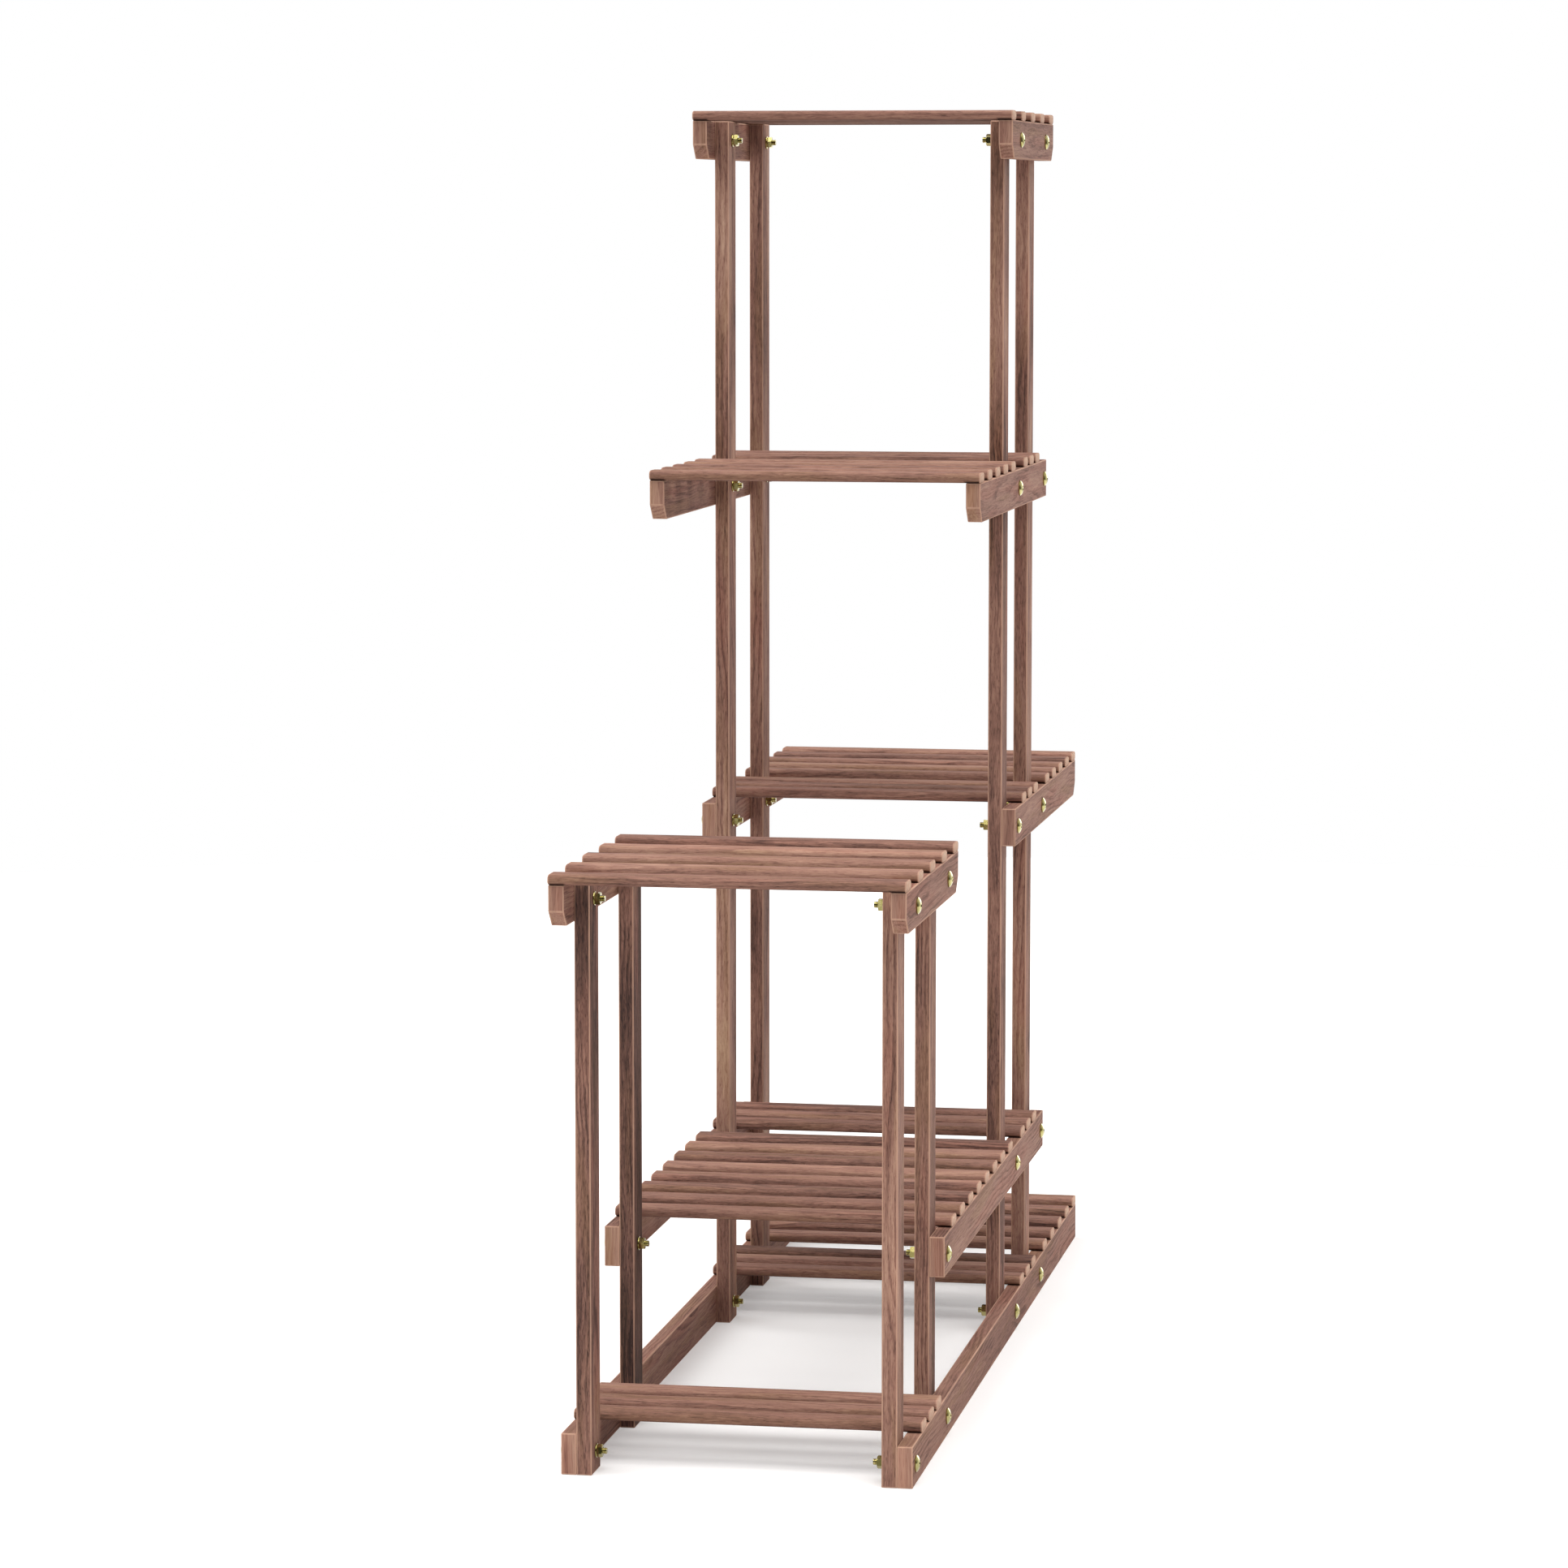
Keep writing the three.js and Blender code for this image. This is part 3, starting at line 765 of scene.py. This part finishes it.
def cut_away(tree, body, *tools):
    node = add(tree, "GeometryNodeMeshBoolean", {
        "Mesh 1": body}, operation="DIFFERENCE", solver="EXACT")
    for tool in tools:
        tree.links.new(tool, node.inputs["Mesh 2"])
    return node.outputs["Mesh"]


def in_common(tree, *bodies):
    node = add(tree, "GeometryNodeMeshBoolean", operation="INTERSECT", solver="EXACT")
    for body in bodies:
        tree.links.new(body, node.inputs["Mesh 2"])
    return node.outputs["Mesh"]


def on_crossings(tree, given, result, geometry):
    """Puts one fastener on every point, its +Z the way out, turned by chance."""
    way_out = add(tree, "GeometryNodeInputNamedAttribute", {
        "Name": "outward"}, data_type="FLOAT_VECTOR").outputs[0]
    upright = add(tree, "FunctionNodeAlignRotationToVector", {"Vector": way_out}, axis="Z")
    turn = add(tree, "FunctionNodeRandomValue", {
        "Seed": given["Seed"], 2: 0.0, 3: 2 * math.pi}, data_type="FLOAT").outputs[1]
    spin = add(tree, "FunctionNodeAxisAngleToRotation", {"Axis": (0, 0, 1), "Angle": turn})
    turned = add(tree, "FunctionNodeRotateRotation", {
        0: upright.outputs[0], 1: spin.outputs[0]}, rotation_space="LOCAL")
    placed = add(tree, "GeometryNodeInstanceOnPoints", {
        "Points": given["Geometry"], "Instance": geometry, "Rotation": turned.outputs[0]})
    placed = add(tree, "GeometryNodeRealizeInstances", {"Geometry": placed.outputs[0]})
    placed = add(tree, "GeometryNodeSetMaterial", {
        "Geometry": placed.outputs[0], "Material": given["Metal"]})
    tree.links.new(placed.outputs[0], result.inputs[0])


# %% Screw: head
SCREW = {
    "Head width": 0.012, "Head height": 0.0032, "Head rim": 0.0009,
    "Recess width": 0.007, "Slot width": 0.0019, "Recess depth": 0.0022,
    "Length": 0.03, "Major width": 0.0048, "Minor width": 0.0041,
    "Pitch": 0.0008, "Threaded": 0.012,
    "Seed": 31, "Metal": zinc,
}
DOME = 0.75  # 0.5 would be an ellipse, 1 a parabola
SLOT_TAPER = -0.45  # how much a slot's width changes down to its floor
ROUND = 32  # sides of a circle that shows
INNER_ROUND = 24  # sides of a circle that hides in wood or in metal

tree, given, result = new_tree("cross_recess_screws", SCREW)
head_radius = calc(tree, "MULTIPLY", given["Head width"], 0.5)
head = cylinder(tree, head_radius, given["Head rim"], 0.0, ROUND, fill_steps=7)


def domed(x, y, z):
    """The top of the head rises from the rim to the middle, as full as DOME says."""
    out = calc(tree, "DIVIDE", calc(tree, "SQRT", calc(
        tree, "MULTIPLY_ADD", x, x, calc(tree, "MULTIPLY", y, y))), head_radius)
    rise = calc(tree, "POWER", calc(tree, "MAXIMUM", calc(
        tree, "SUBTRACT", 1.0, calc(tree, "MULTIPLY", out, out)), 0.0), DOME)
    rise = calc(tree, "MULTIPLY", rise, calc(
        tree, "SUBTRACT", given["Head height"], given["Head rim"]))
    is_top = calc(tree, "GREATER_THAN", z, HAIR)
    return x, y, calc(tree, "MULTIPLY_ADD", rise, is_top, z)


def tapered(x, y, z):
    """Lifts a slot to the top of the head and makes its floor narrower."""
    is_floor = calc(tree, "LESS_THAN", z, 0.0)
    keep = calc(tree, "MULTIPLY_ADD", is_floor, SLOT_TAPER, 1.0)
    height = calc(tree, "ADD", z, given["Head height"])
    return calc(tree, "MULTIPLY", x, keep), calc(tree, "MULTIPLY", y, keep), height


head = move_points(tree, head, domed)
slots = []
for across, wide in ((given["Recess width"], given["Slot width"]),
                     (given["Slot width"], given["Recess width"])):
    deep = calc(tree, "MULTIPLY", given["Recess depth"], 2.0)
    slot = add(tree, "GeometryNodeMeshCube", {
        "Size": xyz(tree, {0: across, 1: wide, 2: deep})}).outputs["Mesh"]
    slots.append(move_points(tree, slot, tapered))
head = cut_away(tree, head, *slots)
print("screw head:", len(tree.nodes), "nodes")

# %% Screw: shank and thread
INTO_HEAD = 0.0003  # how far the shank reaches into the head
INTO_SHANK = 0.0002  # how far the threaded core reaches into the shank

major_radius = calc(tree, "MULTIPLY", given["Major width"], 0.5)
minor_radius = calc(tree, "MULTIPLY", given["Minor width"], 0.5)
below = calc(tree, "MULTIPLY", given["Length"], -1.0)
plain_long = calc(tree, "SUBTRACT", given["Length"], given["Threaded"])
shank = cylinder(
    tree, major_radius, calc(tree, "ADD", plain_long, INTO_HEAD),
    calc(tree, "MULTIPLY", plain_long, -1.0), INNER_ROUND)
core = cylinder(
    tree, minor_radius, calc(tree, "ADD", given["Threaded"], INTO_SHANK), below, INNER_ROUND)
turns = calc(tree, "SUBTRACT", calc(tree, "DIVIDE", given["Threaded"], given["Pitch"]), 1.0)
helix = add(tree, "GeometryNodeCurveSpiral", {
    "Resolution": 14, "Rotations": turns,
    "Start Radius": minor_radius, "End Radius": minor_radius,
    "Height": calc(tree, "MULTIPLY", turns, given["Pitch"])}).outputs[0]
ridge = add(tree, "GeometryNodeCurvePrimitiveCircle", {
    "Resolution": 3,
    "Radius": calc(tree, "SUBTRACT", major_radius, minor_radius)}).outputs[0]
thread = add(tree, "GeometryNodeCurveToMesh", {
    "Curve": helix, "Profile Curve": ridge, "Fill Caps": True}).outputs[0]
thread = lifted(tree, thread, calc(tree, "MULTIPLY_ADD", given["Pitch"], 0.5, below))
screw = add(tree, "GeometryNodeJoinGeometry")
for part in (head, shank, core, thread):
    tree.links.new(part, screw.inputs[0])
on_crossings(tree, given, result, screw.outputs[0])
screw_mesh = grow(tree, SCREW, crossings, {"outward": outward})
print("screws:", len(crossings), "with", len(screw_mesh.polygons), "faces together")

# %% Washer tree
WASHER = {
    "Outer width": 0.01, "Hole width": 0.0053, "Thickness": 0.001,
    "Edge": 0.0002, "Depth": 0.022, "Seed": 32, "Metal": zinc,
}
tree, given, result = new_tree("plain_washers", WASHER)
wall = calc(tree, "MULTIPLY", calc(
    tree, "SUBTRACT", given["Outer width"], given["Hole width"]), 0.5)
section = add(tree, "GeometryNodeCurvePrimitiveQuadrilateral", {
    "Width": wall, "Height": given["Thickness"]}).outputs[0]
section = add(tree, "GeometryNodeFilletCurve", {
    "Curve": section, "Count": 2, "Radius": given["Edge"]}, mode="POLY").outputs[0]
circle = add(tree, "GeometryNodeCurvePrimitiveCircle", {
    "Resolution": ROUND, "Radius": calc(tree, "MULTIPLY", calc(
        tree, "ADD", given["Outer width"], given["Hole width"]), 0.25)}).outputs[0]
washer = add(tree, "GeometryNodeCurveToMesh", {
    "Curve": circle, "Profile Curve": section}).outputs[0]
middle_deep = calc(tree, "MULTIPLY_ADD", given["Thickness"], 0.5, given["Depth"])
washer = move_points(
    tree, washer, lambda x, y, z: (x, y, calc(tree, "SUBTRACT", z, middle_deep)))
on_crossings(tree, given, result, washer)
washer_mesh = grow(tree, WASHER, crossings, {"outward": outward})
print("washers:", len(crossings), "with", len(washer_mesh.polygons), "faces together")

# %% Nut tree
NUT = {
    "Flats": 0.008, "Height": 0.004, "Hole width": 0.0044, "Chamfer": 0.0005,
    "Depth": 0.023, "Seed": 33, "Metal": zinc,
}
PAST = 0.001  # how far the drill goes past each end
tree, given, result = new_tree("hexagon_nuts", NUT)
corner = calc(tree, "DIVIDE", given["Flats"], 2 * math.cos(math.pi / 6))
base = calc(tree, "MULTIPLY", calc(tree, "ADD", given["Depth"], given["Height"]), -1.0)
prism = cylinder(tree, corner, given["Height"], base, 6)
blank = cylinder(
    tree, calc(tree, "ADD", corner, HAIR), given["Height"], base, ROUND, side_steps=6)


def chamfered(x, y, z):
    """Draws in the two end circles, so that they cut the corners of the hexagon."""
    middle = calc(tree, "MULTIPLY_ADD", given["Height"], 0.5, base)
    off = calc(tree, "ABSOLUTE", calc(tree, "SUBTRACT", z, middle))
    is_end = calc(tree, "GREATER_THAN", off, calc(tree, "MULTIPLY", given["Height"], 0.49))
    keep = calc(tree, "SUBTRACT", 1.0, calc(tree, "MULTIPLY", is_end, calc(
        tree, "DIVIDE", given["Chamfer"], corner)))
    return calc(tree, "MULTIPLY", x, keep), calc(tree, "MULTIPLY", y, keep), z


hexagon = in_common(tree, prism, move_points(tree, blank, chamfered))
hole = cylinder(
    tree, calc(tree, "MULTIPLY", given["Hole width"], 0.5),
    calc(tree, "ADD", given["Height"], 2 * PAST), calc(tree, "SUBTRACT", base, PAST),
    INNER_ROUND)
on_crossings(tree, given, result, cut_away(tree, hexagon, hole))
nut_mesh = grow(tree, NUT, crossings, {"outward": outward})
print("nuts:", len(crossings), "with", len(nut_mesh.polygons), "faces together")

# %% Fastener pieces
for name, mesh, crease in (
        ("screws", screw_mesh, 40), ("washers", washer_mesh, 40), ("nuts", nut_mesh, 25)):
    place(name, mesh, zinc, rail_nodes)
    mesh.shade_smooth()
    mesh.set_sharp_from_angle(angle=math.radians(crease))
    print(name, "are smooth up to", crease, "degrees")

# %% [markdown]
# ## Floor and light
# The picture was taken on white: the floor fades into the background, and only a
# soft grey shadow lies between the bottom rails. The light is broad and comes from
# everywhere, a little more from above. A world of even white does much of it. Two
# wide suns from above give the shadow its direction, and a weak low one from behind
# picks out the right-hand edges. Suns rather than area lamps, because they light the
# whole floor evenly. The floor is a white matt sheet with a little glow that only
# the camera, mirrors and glass see. It brings the open floor up to pure white and
# leaves the shadow in place. From below the sheet is clear, so that the undersides
# of the rails and slats can be looked at too.
#
# Bright metal in an all-white room looks flat, so photographers hang a dark cloth on
# one side of it. Here the world and the floor look dark to glossy rays that leave
# towards the low end of the stand. That is a fixed side of the room, so it stays
# where it is from any other view, and matt wood doesn't feel it.

# %% Floor
def white_rays(tree):
    """1 for rays of the camera, of glossy and of clear surfaces, 0 for diffuse light."""
    path = add(tree, "ShaderNodeLightPath").outputs
    straight_or_glossy = calc(tree, "MAXIMUM", path["Is Camera Ray"], path["Is Glossy Ray"])
    return calc(tree, "MAXIMUM", straight_or_glossy, path["Is Transmission Ray"])


FLOOR_GLOW = 0.24
FLOOR_RADIUS = 3.2
FLOOR_GAP = 0.0001  # so that no face of the stand lies in the floor's own plane
FLOOR_WHITE = colour(232, 231, 230)
BLACK = colour(0, 0, 0)
floor_finish = bpy.data.materials.new("white_floor")
floor_finish.use_nodes = True
tree = floor_finish.node_tree
tree.nodes.clear()
way_along = add(tree, "ShaderNodeSeparateXYZ", {
    0: add(tree, "ShaderNodeTexCoord").outputs["Object"]}).outputs[0]
dark_in_mirrors = calc(tree, "MULTIPLY", fade(tree, way_along, 0.4, -1.4, 0.0, 0.85), add(
    tree, "ShaderNodeLightPath").outputs["Is Glossy Ray"])
matt = add(tree, "ShaderNodeBsdfDiffuse", {
    "Color": blend_colour(tree, dark_in_mirrors, FLOOR_WHITE, BLACK)})
glow = add(tree, "ShaderNodeEmission", {
    "Color": (1, 1, 1, 1), "Strength": calc(tree, "MULTIPLY", white_rays(tree), FLOOR_GLOW)})
both = add(tree, "ShaderNodeAddShader", {0: matt.outputs[0], 1: glow.outputs[0]})
one_sided = add(tree, "ShaderNodeMixShader", {
    0: add(tree, "ShaderNodeNewGeometry").outputs["Backfacing"],
    1: both.outputs[0], 2: add(tree, "ShaderNodeBsdfTransparent").outputs[0]})
add(tree, "ShaderNodeOutputMaterial", {"Surface": one_sided.outputs[0]})

bpy.ops.mesh.primitive_circle_add(
    vertices=96, radius=FLOOR_RADIUS, fill_type="NGON", location=(0.0, 0.0, -FLOOR_GAP))
floor = bpy.context.object
floor.name = "floor"
floor.data.materials.append(floor_finish)
print("floor:", FLOOR_RADIUS * 2, "metres wide")

# %% World and suns
WORLD_LIGHT = 0.39
DARK_SIDE = 0.04  # how bright the dark cloth looks in a mirror
world = bpy.data.worlds.new("white_room")
bpy.context.scene.world = world
world.use_nodes = True
tree = world.node_tree
tree.nodes.clear()
way = add(tree, "ShaderNodeSeparateXYZ", {
    0: add(tree, "ShaderNodeTexCoord").outputs["Generated"]}).outputs
from_dark = calc(tree, "MULTIPLY_ADD", way[2], 0.4, way[0])  # low at the low end's side
in_mirrors = fade(tree, from_dark, -0.15, 0.8, DARK_SIDE, 1.0)
path = add(tree, "ShaderNodeLightPath").outputs
level = fade(tree, path["Is Camera Ray"], 0.0, 1.0, WORLD_LIGHT, 1.0)
level = add(tree, "ShaderNodeMix", {
    0: path["Is Glossy Ray"], 2: level, 3: in_mirrors}, data_type="FLOAT").outputs[0]
level = calc(tree, "MAXIMUM", level, path["Is Transmission Ray"])
sky = add(tree, "ShaderNodeBackground", {"Color": (1, 1, 1, 1), "Strength": level})
add(tree, "ShaderNodeOutputWorld", {"Surface": sky.outputs[0]})


def sun(name, strength, spread_degrees, towards):
    lamp = bpy.data.lights.new(name, "SUN")
    lamp.energy = strength
    lamp.angle = math.radians(spread_degrees)
    holder = bpy.data.objects.new(name, lamp)
    holder.rotation_mode = "QUATERNION"
    holder.rotation_quaternion = Vector(towards).to_track_quat("-Z", "Y")
    bpy.context.scene.collection.objects.link(holder)


sun("high_front_right", 2.45, 60, (0.28, 0.28, -1.0))
sun("left", 1.95, 60, (0.0, -1.0, -1.0))
sun("behind_right", 0.4, 25, (-0.9, 0.42, -0.15))

view = bpy.context.scene.view_settings
view.view_transform = "Standard"
print("world light:", WORLD_LIGHT, "floor glow:", FLOOR_GLOW)
